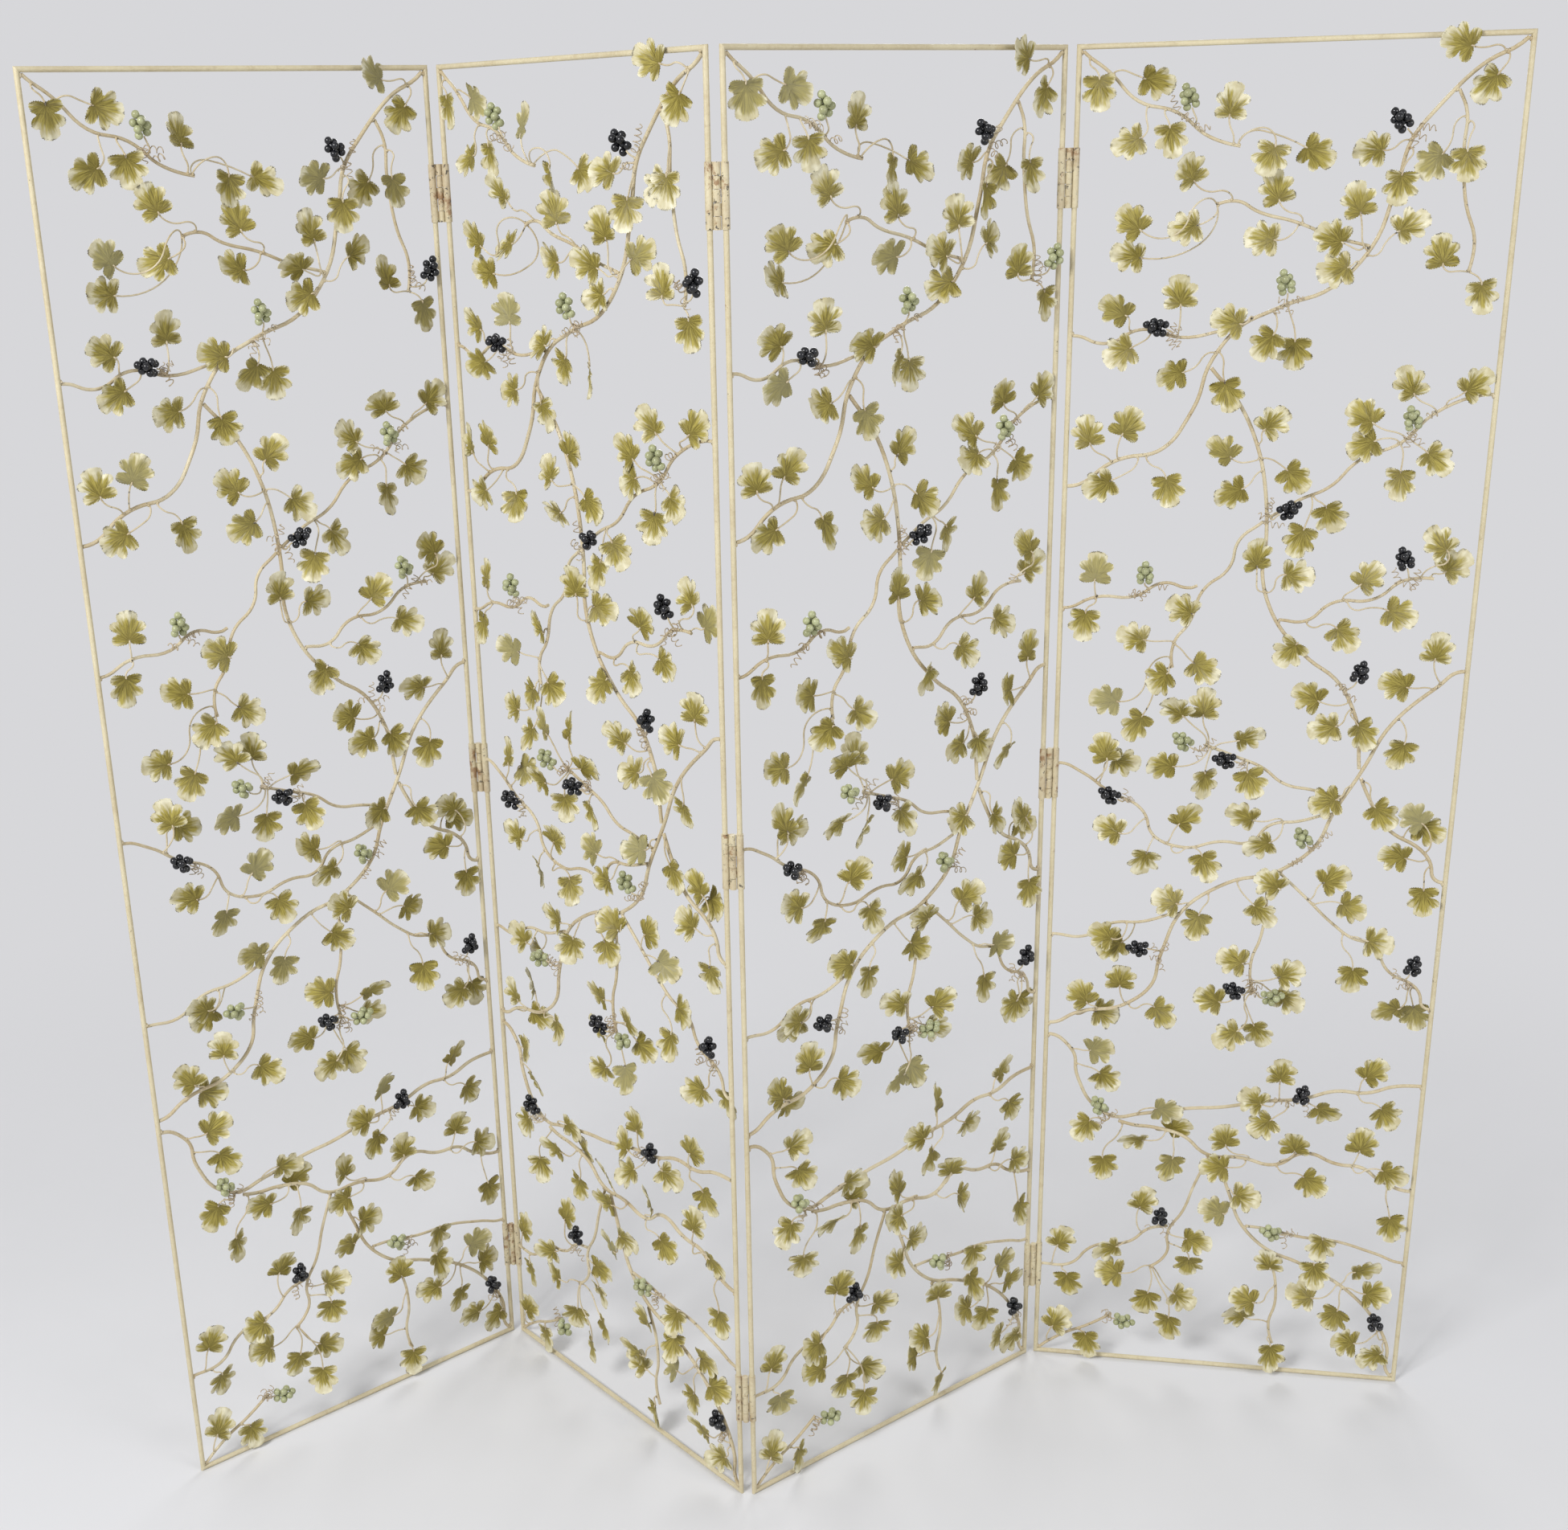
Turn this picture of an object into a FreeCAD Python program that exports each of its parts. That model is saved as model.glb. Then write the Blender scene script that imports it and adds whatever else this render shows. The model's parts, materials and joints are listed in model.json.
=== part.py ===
import FreeCAD, Part
import math
import os

from FreeCAD import Placement, Rotation, Vector

# Four welded grapevine panels, hinged in a zigzag. Millimetres, +Z up, front towards -Y.
# The origin is on the floor under the middle fold line's hinge pins.

doc = FreeCAD.newDocument("folding_screen")
sheet = doc.addObject("Spreadsheet::Sheet", "sizes")

DRIVING_SIZES = [
    ("panel_height", 1830.0),
    ("panel_width", 520.0),
    ("rod_diameter", 6.5),
    ("main_vine_diameter", 4.8),
    ("side_vine_diameter", 4.0),
    ("stalk_diameter", 2.0),
    ("weld_gap", 0.25),
    ("leaf_length", 40.0),
    ("leaf_width", 44.0),
    ("leaf_thickness", 0.9),
    ("leaf_pleat", 2.5),
    ("leaf_lift", 7.5),
    ("leaf_tilt", 9.0),
    ("grape_diameter", 9.6),
    ("tendril_wire", 1.3),
    ("tendril_coil", 8.0),
    ("tendril_pitch", 6.5),
    ("hinge_height", 70.0),
    ("hinge_from_end", 152.0),
    ("hinge_sheet", 1.2),
    ("knuckle_diameter", 8.0),
    ("knuckle_gap", 0.6),
    ("pin_diameter", 4.8),
    ("pin_clearance", 0.05),
    ("sleeve_clearance", 0.05),
    ("hinge_reach", 8.0),
    ("hinge_offset", 4.5),
    ("fold_1_2", 91.4),
    ("fold_2_3", 93.4),
    ("fold_3_4", 132.7),
    ("heading_panel_2", -50.3),
]
for row, (alias, value) in enumerate(DRIVING_SIZES, start=1):
    sheet.set(f"A{row}", alias)
    sheet.set(f"B{row}", str(value))
    sheet.setAlias(f"B{row}", alias)
doc.recompute()


def size(alias):
    return float(getattr(sheet, alias))


ROD_R = size("rod_diameter") / 2
MAIN_R = size("main_vine_diameter") / 2
SIDE_R = size("side_vine_diameter") / 2
STALK_R = size("stalk_diameter") / 2
GRAPE_R = size("grape_diameter") / 2
WIRE_R = size("tendril_wire") / 2
GAP = size("weld_gap")
SPAN_X = size("panel_width") - size("rod_diameter")
SPAN_Z = size("panel_height") - size("rod_diameter")
FRONT = Vector(0, -1, 0)
PANELS = (1, 2, 3, 4)
COLOURS = {"green": "G", "black": "B"}
KNUCKLES = 5
SLEEVE_WALL = size("sleeve_clearance") + size("hinge_sheet")
HINGE_HEIGHTS = (
    size("hinge_from_end"), size("panel_height") / 2, size("panel_height") - size("hinge_from_end"),
)

# The vine layout as laid out on the welding jig, in millimetres from the lower left frame corner,
# stile centre to stile centre and rail centre to rail centre. All panels share it.
JIG_X = 515
JIG_Z = 1830

# Rods of the vines, by name. A third value starts a new rod there, welded end to end.
CUT = "cut"
MAIN_VINES = {
    "top_sweep": [
        (515, 1830), (460, 1795), (420, 1755), (391, 1717, CUT), (378, 1665), (355, 1594, CUT),
        (312, 1547), (252, 1524), (205, 1500, CUT), (176, 1463), (155, 1400), (120, 1351, CUT),
        (66, 1337), (0, 1303),
    ],
    "diagonal": [
        (515, 1068), (475, 1042), (430, 997), (394, 925, CUT), (366, 872), (345, 822),
        (300, 785, CUT), (235, 765), (178, 722, CUT), (152, 655), (140, 606), (105, 576),
        (45, 562, CUT), (0, 543),
    ],
    "centre": [
        (172, 1455), (213, 1405), (240, 1345), (252, 1285), (255, 1240, CUT), (254, 1185),
        (273, 1132, CUT), (312, 1086), (360, 1047), (384, 1000), (394, 925),
    ],
    "centre_low": [(394, 925), (406, 898), (432, 855), (486, 817), (515, 778)],
    "low_cross": [
        (0, 525), (36, 503), (46, 460), (70, 417), (97, 401, CUT), (140, 408), (200, 420),
        (250, 426), (300, 438, CUT), (355, 446), (400, 461), (440, 461), (480, 474), (515, 476),
    ],
    "low_wave": [
        (106, 394), (126, 389), (155, 387), (195, 377), (232, 349, CUT), (280, 347), (322, 339),
        (368, 361), (410, 347), (445, 343, CUT), (470, 325), (515, 311),
    ],
    "foot_sweep": [
        (245, 347), (265, 290), (285, 240), (318, 205, CUT), (375, 180), (430, 150),
        (470, 112, CUT), (500, 60), (515, 0),
    ],
}
SIDE_VINES = {
    "top_left": [(0, 1830), (35, 1802), (72, 1767), (118, 1753), (158, 1724), (194, 1713)],
    "left_upper": [(0, 1492), (42, 1482), (90, 1499), (135, 1489), (205, 1500)],
    "upper_middle": [(355, 1594), (310, 1606), (265, 1624), (222, 1636), (192, 1650), (170, 1646)],
    "right_upper": [(437, 1773), (448, 1750), (450, 1700), (456, 1650), (472, 1590), (468, 1563)],
    "left_middle": [
        (254, 1262), (222, 1235), (212, 1200), (180, 1168), (165, 1125), (148, 1100), (147, 1065),
    ],
    "left_branch": [(198, 1184), (165, 1172), (130, 1178), (95, 1160), (45, 1158), (0, 1143)],
    "right_middle": [(273, 1132), (308, 1130), (345, 1156), (390, 1160), (433, 1187), (463, 1188)],
    "right_cross": [
        (254, 1262), (292, 1287), (325, 1302), (362, 1338), (410, 1360), (445, 1395), (515, 1418),
    ],
    "left_low": [(0, 679), (45, 677), (85, 699), (125, 703), (178, 722)],
    "left_loop": [
        (0, 929), (40, 914), (70, 892), (115, 868), (138, 826), (175, 814), (220, 824),
        (262, 826, CUT), (285, 850), (325, 858), (366, 872),
    ],
    "hub_branch": [(195, 960), (235, 945), (268, 932), (300, 909), (340, 901), (376, 892)],
    "right_low": [
        (300, 785), (340, 747), (375, 713), (400, 694), (430, 683, CUT), (455, 645), (490, 625),
        (515, 593),
    ],
    "centre_drop": [(285, 778), (288, 730), (283, 685), (274, 655), (278, 605)],
    "foot_left": [(236, 347), (217, 300), (203, 255), (184, 220), (182, 180), (160, 158)],
    "foot_middle": [(322, 203), (338, 155), (341, 115), (334, 75), (341, 45)],
    "foot_cross": [(515, 195), (470, 208), (420, 222), (365, 226), (320, 235), (287, 238)],
    "foot_loop": [(0, 150), (40, 151), (80, 186), (130, 198), (158, 222), (186, 230)],
    "corner_low": [(0, 0), (40, 32), (75, 50), (108, 72)],
}

# Leaves: blade centre, the way the tip points in degrees from +X, and where the stalk leaves a vine.
# BACK puts the leaf behind the vines.
BACK = "back"
LEAVES = [
    (26, 1779, -85, 14, 1816), (92, 1787, -20, 40, 1800), (62, 1720, 200, 84, 1762),
    (112, 1722, -82, 104, 1756), (134, 1687, 120, 190, 1650), (180, 1763, 85, 186, 1715),
    (230, 1697, -105, 192, 1713), (284, 1702, -30, 190, 1713, BACK), (238, 1664, 108, 270, 1622),
    (226, 1606, 172, 268, 1622), (306, 1607, 152, 345, 1596), (314, 1567, 195, 342, 1576),
    (334, 1648, 105, 352, 1590), (380, 1662, -95, 388, 1708), (397, 1618, 25, 352, 1585),
    (343, 1707, 170, 390, 1715), (433, 1822, 160, 484, 1812), (469, 1774, -130, 486, 1814),
    (417, 1688, -135, 448, 1742, BACK), (454, 1687, -85, 449, 1735), (436, 1588, 95, 468, 1563),
    (486, 1535, -80, 469, 1564), (70, 1629, 135, 170, 1646), (134, 1619, 195, 171, 1646),
    (68, 1587, 170, 170, 1645, BACK), (55, 1524, 150, 76, 1494), (132, 1544, 95, 133, 1489),
    (192, 1509, 165, 222, 1510), (62, 1471, 205, 100, 1498), (238, 1480, -125, 246, 1522),
    (274, 1468, -90, 262, 1527, BACK), (125, 1446, 185, 178, 1468), (197, 1420, -70, 181, 1471),
    (26, 1373, 105, 56, 1335), (76, 1384, 65, 66, 1337), (44, 1305, 205, 92, 1342),
    (129, 1300, -80, 100, 1344), (254, 1387, 45, 236, 1356), (194, 1352, 135, 242, 1338),
    (207, 1297, 200, 245, 1325), (285, 1316, -42, 243, 1338), (361, 1394, 140, 414, 1364),
    (363, 1356, 205, 407, 1358), (410, 1432, 122, 447, 1397), (489, 1432, 40, 458, 1402),
    (451, 1338, -42, 416, 1366), (408, 1309, -98, 408, 1359), (332, 1266, -60, 310, 1294),
    (295, 1237, -108, 306, 1292), (244, 1217, 95, 255, 1170), (296, 1191, -5, 256, 1165),
    (384, 1192, 48, 356, 1158), (424, 1143, -20, 360, 1158), (464, 1236, 135, 448, 1189),
    (489, 1205, 40, 460, 1188, BACK), (360, 1113, -45, 312, 1131), (155, 1147, 150, 172, 1143),
    (95, 1107, 165, 149, 1101), (31, 1124, -95, 44, 1158), (44, 1197, 85, 46, 1158),
    (475, 1100, 82, 485, 1052), (428, 1051, 165, 474, 1041), (441, 957, -108, 436, 1006),
    (321, 1033, 152, 376, 1026), (344, 990, 190, 381, 1015), (392, 981, -65, 380, 1012),
    (292, 1090, -128, 300, 1098), (186, 1065, -35, 148, 1098), (130, 1048, -135, 147, 1068),
    (64, 1017, 170, 147, 1078, BACK), (103, 983, -125, 147, 1066, BACK), (64, 953, 105, 50, 903),
    (92, 930, -10, 56, 900, BACK), (154, 1013, 130, 196, 960), (192, 1013, 85, 197, 960, BACK),
    (251, 973, 15, 205, 956), (140, 933, 172, 200, 958), (195, 908, -95, 203, 957),
    (256, 912, -70, 252, 939), (248, 864, 160, 302, 855), (272, 823, 200, 300, 855),
    (176, 861, 50, 152, 817), (75, 840, 155, 126, 856), (122, 792, -105, 136, 830),
    (204, 792, -70, 158, 816), (352, 888, 195, 384, 908), (426, 872, -48, 402, 915),
    (466, 872, 140, 484, 818), (489, 848, -20, 456, 837, BACK), (446, 817, 165, 492, 812),
    (488, 754, -88, 500, 804), (372, 781, 30, 342, 746), (398, 738, -25, 350, 739),
    (290, 771, 145, 310, 778), (282, 727, -42, 246, 767), (155, 738, 165, 188, 732),
    (196, 705, -105, 206, 752), (72, 686, 150, 104, 702), (86, 660, 210, 116, 702, BACK),
    (99, 623, 88, 108, 577), (46, 592, 125, 70, 567), (82, 556, -15, 40, 560, BACK),
    (158, 569, -40, 112, 578), (76, 512, 22, 36, 505), (86, 460, -48, 42, 482),
    (57, 383, -125, 94, 402), (126, 373, 165, 172, 384), (172, 418, -10, 134, 407),
    (190, 390, 35, 158, 388, BACK), (252, 384, 105, 290, 345), (287, 445, 150, 318, 441),
    (303, 404, -140, 336, 443), (324, 491, 88, 326, 441), (388, 429, -32, 364, 444),
    (349, 382, 95, 330, 341), (447, 498, 45, 429, 462), (469, 429, -55, 430, 461),
    (440, 388, 80, 430, 345), (457, 588, -155, 484, 628), (496, 577, -75, 488, 625, BACK),
    (406, 635, -92, 392, 699), (437, 690, -8, 404, 693), (248, 654, 165, 275, 650),
    (324, 640, 30, 275, 624), (328, 594, -20, 277, 618, BACK), (221, 588, 165, 277, 610, BACK),
    (248, 541, -150, 277, 605), (290, 538, -65, 278, 606, BACK), (87, 322, -85, 112, 393),
    (180, 329, -105, 184, 380), (243, 334, 178, 286, 346), (377, 317, -40, 330, 340),
    (484, 340, -20, 432, 344), (489, 256, -80, 480, 320), (288, 287, -12, 262, 296),
    (245, 264, 160, 272, 272), (224, 212, -5, 184, 216), (215, 165, -90, 184, 198),
    (147, 273, 68, 148, 216), (33, 200, 65, 22, 190), (44, 124, -80, 28, 182),
    (97, 188, 195, 128, 198), (103, 150, 170, 160, 159), (155, 103, -108, 161, 159),
    (211, 103, -30, 162, 160, BACK), (190, 64, -95, 163, 162), (32, 59, 55, 20, 16),
    (75, 24, -80, 62, 43), (327, 189, 100, 328, 176), (295, 119, 165, 338, 140),
    (288, 88, 145, 334, 78, BACK), (337, 28, -95, 340, 56), (376, 133, 170, 424, 153),
    (391, 171, -85, 380, 178), (396, 214, -100, 402, 224), (423, 98, -108, 432, 148),
    (440, 64, 165, 490, 82), (461, 181, 10, 428, 151), (478, 143, -2, 436, 146),
    (480, 38, -150, 501, 62),
]

# Bunches: middle, the way the bunch points, where its stalk leaves a vine, and its colour on each
# panel from left to right: G green, B black, - no bunch.
BUNCHES = [
    (130, 1771, 110, 140, 1739, "GGGG"), (374, 1739, 130, 391, 1719, "BBBB"),
    (497, 1591, 70, 470, 1568, "BBG-"), (256, 1555, 105, 260, 1528, "GGGG"),
    (104, 1503, 165, 124, 1491, "BBBB"), (418, 1391, 105, 420, 1370, "GGGG"),
    (281, 1277, 30, 258, 1264, "BBBB"), (106, 1193, 90, 112, 1168, "GGGG"),
    (424, 1216, 110, 432, 1187, "GB-B"), (383, 1067, 75, 366, 1040, "BBBB"),
    (164, 968, 140, 195, 960, "GGGG"), (219, 943, 170, 248, 940, "BBBB"),
    (72, 889, 150, 92, 882, "BBBB"), (327, 838, 120, 344, 820, "GGGG"),
    (119, 667, 175, 154, 662, "GGBB"), (484, 660, 75, 474, 634, "BBBB"),
    (251, 611, 150, 276, 612, "BBBB"), (305, 604, 15, 279, 606, "GGGG"),
    (354, 457, 75, 346, 445, "BB-B"), (77, 422, 120, 94, 402, "GBGG"),
    (171, 248, 82, 172, 226, "BBBB"), (325, 235, 165, 354, 228, "GGGG"),
    (128, 68, -5, 106, 71, "GGGG"), (480, 99, 105, 497, 68, "BBBB"),
]

# Tendrils: where the wire leaves a vine and the way the coil runs.
TENDRILS = [
    (146, 1732, 20), (268, 1530, 35), (128, 1490, -60), (448, 1398, 200), (254, 1262, 150),
    (104, 1164, 165), (440, 1188, 75), (372, 1034, -20), (352, 838, 40), (160, 676, -95),
    (462, 640, 110), (98, 402, 75),
]
TENDRIL_TURNS = 2

# Leaf form, as shares of the leaf's length and half width, from the stalk round one side to the tip.
LEAF_SIDE = [(0.08, 0.0, 0.0), (0.8, 0.1, 0.6), (0.4, 0.3, 0.2), (1.0, 0.52, 1.0), (0.54, 0.8, 0.3)]
LEAF_TIP = (0.0, 1.0, 1.2)
LEAF_HEART = 0.2
LEAF_MIDDLE = 0.42
STALK_UNDER_LEAF = 2.0
STALK_RISE = 40.0

# Bunch form: each ball's place along, across and in front of the bunch's line, in ball spacings.
STALK_PAIR = 0.55
BUNCH_FORM = [
    (0, -STALK_PAIR, 0), (0, STALK_PAIR, 0), (0.75, -0.65, 0.7), (0.75, 0.65, 0.7),
    (1.5, -0.55, 0), (1.5, 0.55, 0), (1.5, 0, 1.07), (2.27, 0, 0.35),
]
BUNCH_MIDDLE = 1.13
BALL_GAP = 0.15


def at_jig(x, z):
    """A place of the jig layout on the panel, above the panel's own lower left corner on the floor."""
    return Vector(x * SPAN_X / JIG_X, 0, ROD_R + z * SPAN_Z / JIG_Z)


def in_plane(degrees):
    angle = math.radians(degrees)
    return Vector(math.cos(angle), 0, math.sin(angle))


def unit(v):
    return Vector(v).normalize()


# Paths of tangent arcs


def arc_edge(start, tangent, end):
    """The arc from start, leaving along tangent, to end."""
    chord = end - start
    along = unit(chord)
    side = tangent - along * tangent.dot(along)
    if side.Length < 1e-4:
        return Part.LineSegment(start, end).toShape()
    half_turn = math.atan2(side.Length, tangent.dot(along))
    middle = (start + end) * 0.5 + unit(side) * (chord.Length / 2 * math.tan(half_turn / 2))
    return Part.Arc(start, middle, end).toShape()


def biarc(start, start_tangent, end, end_tangent):
    """Two arcs that join two places and directions smoothly."""
    across = end - start
    both = start_tangent + end_tangent
    spread = 2 * (1 - start_tangent.dot(end_tangent))
    reach = across.dot(both)
    if spread < 1e-6:
        length = across.Length / 2
    else:
        length = (math.sqrt(reach**2 + spread * across.dot(across)) - reach) / spread
    joint = (start + end + (start_tangent - end_tangent) * length) * 0.5
    middle_tangent = unit(joint - start - start_tangent * length)
    return [arc_edge(start, start_tangent, joint), arc_edge(joint, middle_tangent, end)]


def tube(edges, start_tangent, radius):
    """A round rod along edges that join smoothly."""
    wire = Part.Wire(edges)
    start = edges[0].Curve.value(edges[0].FirstParameter)
    section = Part.Wire(Part.makeCircle(radius, start, start_tangent))
    return wire.makePipeShell([section], True, False)


def tangents(points):
    """A direction at each point: along the circle through it and its two neighbours."""
    result = []
    for before, here, after in zip(points, points[1:], points[2:]):
        back, ahead = here - before, after - here
        result.append(unit(unit(back) * ahead.Length + unit(ahead) * back.Length))
    first, last = unit(points[1] - points[0]), unit(points[-1] - points[-2])
    result.insert(0, unit(first * (2 * first.dot(result[0])) - result[0]))
    result.append(unit(last * (2 * last.dot(result[-1])) - result[-1]))
    return result


# Vines


def stile_radius(panel, x, height, radius):
    """How far out a stile reaches there: its rod, or a hinge sleeve that is wrapped round it."""
    hinged = panel > PANELS[0] if x == 0 else panel < PANELS[-1]
    near_hinge = any(abs(height - hinge) < size("hinge_height") / 2 + radius for hinge in HINGE_HEIGHTS)
    return ROD_R + SLEEVE_WALL if hinged and near_hinge else ROD_R


def frame_end(panel, x, z, radius):
    """Where a rod's end meets the frame, and the way it then runs into the panel, or None."""
    inward = 1 if x == 0 else -1
    if x not in (0, JIG_X):
        return None
    if z in (0, JIG_Z):
        inset = ROD_R + GAP + radius * math.sqrt(0.5)
        upward = 1 if z == 0 else -1
        place = at_jig(x, z) + Vector(inward * inset, 0, upward * inset)
        return place, unit(Vector(inward, 0, upward))
    place = at_jig(x, z)
    inset = stile_radius(panel, x, place.z, radius) + GAP
    return place + Vector(inward * inset, 0, 0), Vector(inward, 0, 0)


class Vine:
    """One vine's centre line, the rods it is cut into and places along it."""

    def __init__(self, panel, listed, radius):
        self.radius = radius
        self.cuts = [n for n, place in enumerate(listed) if len(place) == 3]
        self.points = [at_jig(*place[:2]) for place in listed]
        ends = {}
        for n in (0, len(listed) - 1):
            ends[n] = frame_end(panel, *listed[n][:2], radius)
            if ends[n]:
                self.points[n] = ends[n][0]
        self.on_frame = [bool(ends[n]) for n in (0, len(listed) - 1)]
        self.tangents = tangents(self.points)
        if self.on_frame[0]:
            self.tangents[0] = ends[0][1]
        if self.on_frame[1]:
            self.tangents[-1] = ends[len(listed) - 1][1] * -1

    def spans(self):
        """The arcs of each stretch between two listed points."""
        steps = zip(self.points, self.tangents, self.points[1:], self.tangents[1:])
        return [biarc(*step) for step in steps]

    def samples(self):
        """Places along the centre line with their directions."""
        found = []
        for edge in [edge for span in self.spans() for edge in span]:
            count = max(2, int(edge.Length / 3))
            for n in range(count):
                parameter = edge.getParameterByLength(edge.Length * n / count)
                found.append((edge.valueAt(parameter), unit(edge.tangentAt(parameter)), self.radius))
        found.append((self.points[-1], self.tangents[-1], self.radius))
        return found

    def stop_short(self, other):
        """Draw ends that run into another vine back to its surface."""
        places = other.samples()
        for n, inner in ((0, 1), (-1, -2)):
            if self.on_frame[n]:
                continue
            place, along, radius = min(places, key=lambda sample: (sample[0] - self.points[n]).Length)
            if (place - self.points[n]).Length > radius:
                continue
            away = unit(self.points[inner] - place)
            lean = abs(away.dot(along))
            clear = radius + GAP + self.radius * lean
            self.points[n] = place + away * (clear / math.sqrt(1 - lean**2))
            self.tangents[n] = away if n == 0 else away * -1

    def rods(self):
        spans = self.spans()
        starts = [0] + self.cuts
        stops = self.cuts + [len(spans)]
        made = []
        for start, stop in zip(starts, stops):
            edges = [edge for span in spans[start:stop] for edge in span]
            made.append(tube(edges, self.tangents[start], self.radius))
        return made


def vines_of(panel):
    """A panel's main and side vines, side vines drawn back from what they are welded to."""
    main = [Vine(panel, listed, MAIN_R) for listed in MAIN_VINES.values()]
    side = [Vine(panel, listed, SIDE_R) for listed in SIDE_VINES.values()]
    both = main + side
    for index, vine in enumerate(both):
        for other in both[:index]:
            vine.stop_short(other)
    return main, side


def rods_of(vines):
    return Part.makeCompound([rod for vine in vines for rod in vine.rods()])


def nearest(places, x, z):
    """The vine place nearest to a place of the layout."""
    near = at_jig(x, z)
    return min(places, key=lambda sample: (sample[0] - near).Length)


def leave_vine(vine_place, towards, rise):
    """Where a wire starts on a vine's surface, and its direction there."""
    place, along, radius = vine_place
    aside = towards - place
    aside = aside - along * aside.dot(along)
    aside = unit(Vector(aside.x, 0, aside.z))
    outward = aside * math.cos(rise) + FRONT * math.sin(rise)
    return place + outward * (radius + GAP), outward


# Leaves on their stalks


def leaf_solid():
    """One leaf in its own frame: stalk at the origin, tip along +Y, front along +Z, radial pleats."""
    half, length, pleat = size("leaf_width") / 2, size("leaf_length"), size("leaf_pleat")
    right = [Vector(x * half, y * length, up * pleat) for x, y, up in LEAF_SIDE]
    left = [Vector(-p.x, p.y, p.z) for p in reversed(right)]
    tip = Vector(LEAF_TIP[0], LEAF_TIP[1] * length, LEAF_TIP[2] * pleat)
    rim = right + [tip] + left
    heart = Vector(0, LEAF_HEART * length, 0)
    crown = heart + Vector(0, 0, size("leaf_thickness"))
    faces = []
    for a, b in zip(rim, rim[1:] + rim[:1]):
        faces.append(Part.Face(Part.makePolygon([crown, a, b, crown])))
        faces.append(Part.Face(Part.makePolygon([heart, b, a, heart])))
    solid = Part.makeSolid(Part.makeShell(faces))
    return solid if solid.Volume > 0 else solid.reversed()


def leaf_placement(number, x, z, heading, lift):
    """Where a leaf sits: its blade's centre on the layout, tilted a little its own way."""
    tip_way = in_plane(heading)
    base = at_jig(x, z) - tip_way * (LEAF_MIDDLE * size("leaf_length")) + FRONT * lift
    facing = Rotation(in_plane(heading - 90), tip_way, FRONT, "YZX")
    pitch = size("leaf_tilt") * math.sin(2.1 * number)
    roll = size("leaf_tilt") * math.sin(1.7 * number)
    tilt = Rotation(Vector(1, 0, 0), pitch).multiply(Rotation(Vector(0, 1, 0), roll))
    return Placement(base, facing.multiply(tilt))


def leaf_stalk(placement, vine_place, front):
    """The wire from a vine to just under a leaf's heart."""
    end = placement.multVec(Vector(0, STALK_UNDER_LEAF, -(STALK_R + GAP)))
    end_tangent = placement.Rotation.multVec(Vector(0, 1, 0))
    rise = math.radians(STALK_RISE if front else -STALK_RISE)
    start, start_tangent = leave_vine(vine_place, end, rise)
    return tube(biarc(start, start_tangent, end, end_tangent), start_tangent, STALK_R)


# Grape bunches on their stalks


def bunch_balls(x, z, heading):
    """The balls' centres, and the stalk's end and direction."""
    spacing = size("grape_diameter") + BALL_GAP
    along, across = in_plane(heading), in_plane(heading + 90)
    first = at_jig(x, z) + FRONT * (MAIN_R + GAP + GRAPE_R) - along * (BUNCH_MIDDLE * spacing)
    centres = []
    for ahead, aside, out in BUNCH_FORM:
        centres.append(first + (along * ahead + across * aside + FRONT * out) * spacing)
    set_back = math.sqrt((GRAPE_R + STALK_R + GAP) ** 2 - (STALK_PAIR * spacing) ** 2)
    return centres, first - along * set_back, along


def bunch_stalk(end, end_tangent, vine_place):
    start, start_tangent = leave_vine(vine_place, end, math.radians(STALK_RISE))
    return tube(biarc(start, start_tangent, end, end_tangent), start_tangent, STALK_R)


# Tendrils


def tendril_path(vine_place, heading):
    """The arcs of a coil from the front of a vine along heading, and its first direction."""
    place, _, radius = vine_place
    coil_r = size("tendril_coil") / 2
    axis = in_plane(heading)
    across = in_plane(heading + 90)
    centre = place + FRONT * (radius + GAP + WIRE_R + coil_r)
    pitch = size("tendril_pitch")
    slope = pitch / (2 * math.pi * coil_r)

    def coil(half_turns):
        angle = math.pi * half_turns
        out = FRONT * (-math.cos(angle)) + across * math.sin(angle)
        turning = FRONT * math.sin(angle) + across * math.cos(angle)
        place = centre + axis * (pitch * half_turns / 2) + out * coil_r
        return place, unit(turning + axis * slope)

    edges = []
    for n in range(2 * TENDRIL_TURNS):
        edges += biarc(*coil(n), *coil(n + 1))
    return edges, coil(0)[1]


def least_gap(edges):
    """The least gap of a coil's wire to itself, on points more than half a turn apart."""
    per_edge = 6
    points = []
    for edge in edges:
        lengths = [edge.Length * n / per_edge for n in range(per_edge)]
        points += [edge.valueAt(edge.getParameterByLength(length)) for length in lengths]
    half_turn = 2 * per_edge
    gaps = [(a - b).Length for n, a in enumerate(points) for b in points[n + half_turn:]]
    return min(gaps) - 2 * WIRE_R


# Placement of the panels, from the fold angles and the pins' places beside the stiles

PIN_SIDE = {1: 1, 2: -1, 3: 1}
turn = {2: size("heading_panel_2")}
turn[1] = turn[2] + 180 - size("fold_1_2")
turn[3] = turn[2] + 180 - size("fold_2_3")
turn[4] = turn[3] - 180 + size("fold_3_4")


def pin_place(panel, fold):
    """A fold's pin axis in a panel's own frame. PIN_SIDE 1 is a fold whose pins stand in front."""
    x = SPAN_X + size("hinge_reach") if fold == panel else -size("hinge_reach")
    return Vector(x, -PIN_SIDE[fold] * size("hinge_offset"), 0)


def panel_at(panel, fold, pin):
    """The placement that turns a panel to its heading with a fold's pin at a world place."""
    rotation = Rotation(Vector(0, 0, 1), turn[panel])
    return Placement(pin - rotation.multVec(pin_place(panel, fold)), rotation)


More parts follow.
